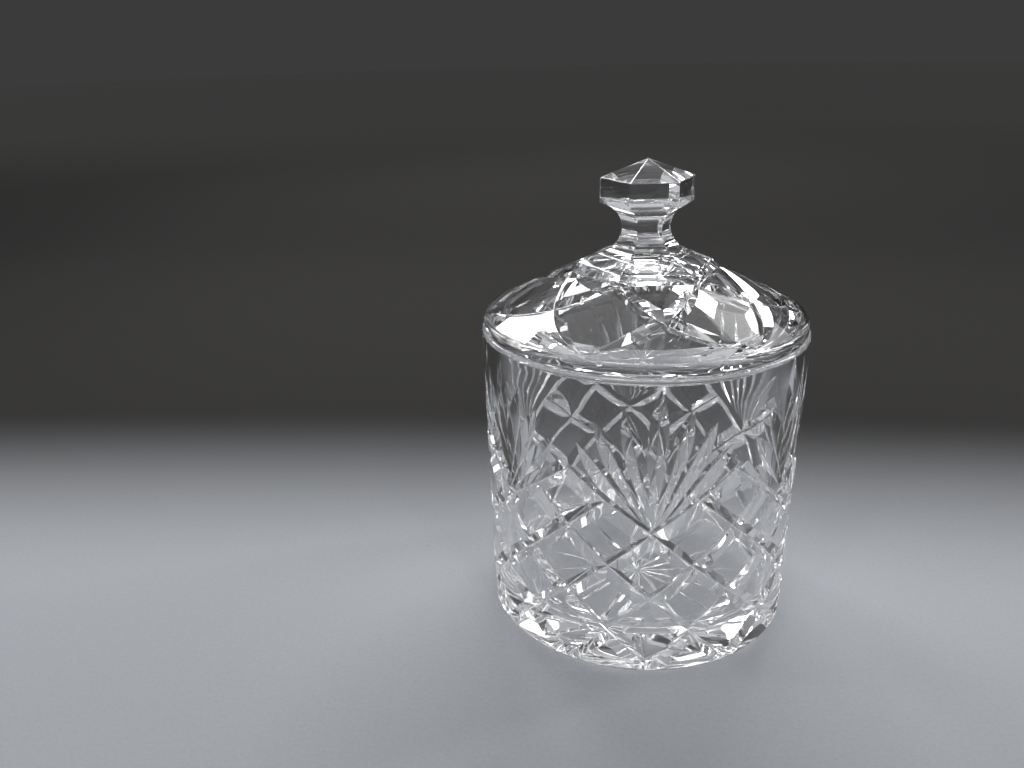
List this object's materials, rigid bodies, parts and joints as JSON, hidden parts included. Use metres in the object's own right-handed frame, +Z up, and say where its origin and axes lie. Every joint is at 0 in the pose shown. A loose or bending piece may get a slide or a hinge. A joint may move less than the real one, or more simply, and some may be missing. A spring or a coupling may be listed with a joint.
{
  "type": "biscuit jar",
  "caption": "Round clear cut-crystal biscuit jar with fans over a diamond trellis, and a low domed lift-off lid with crossing arcs and a faceted knob.",
  "frame": {"origin": "centre of the underside of the jar, on the surface that it stands on", "axes": "+Z up along the jar's axis; -Y is the front, where one fan of the pattern is centred; +X to the right"},
  "size_m": [0.1244, 0.1244, 0.1799],
  "materials": {
    "crystal": "clear polished lead crystal with ground and polished cuts",
    "crystal_lid": "clear polished lead crystal with ground and polished cuts"
  },
  "bodies": {
    "jar_body": {"jar": "crystal"},
    "lid_body": {"lid": "crystal_lid"}
  },
  "joints": [
    {"name": "lid_lift", "type": "slide", "parent": "jar_body", "child": "lid_body", "axis": [0, 0, 1], "range_m": [0, 0.15]}
  ]
}
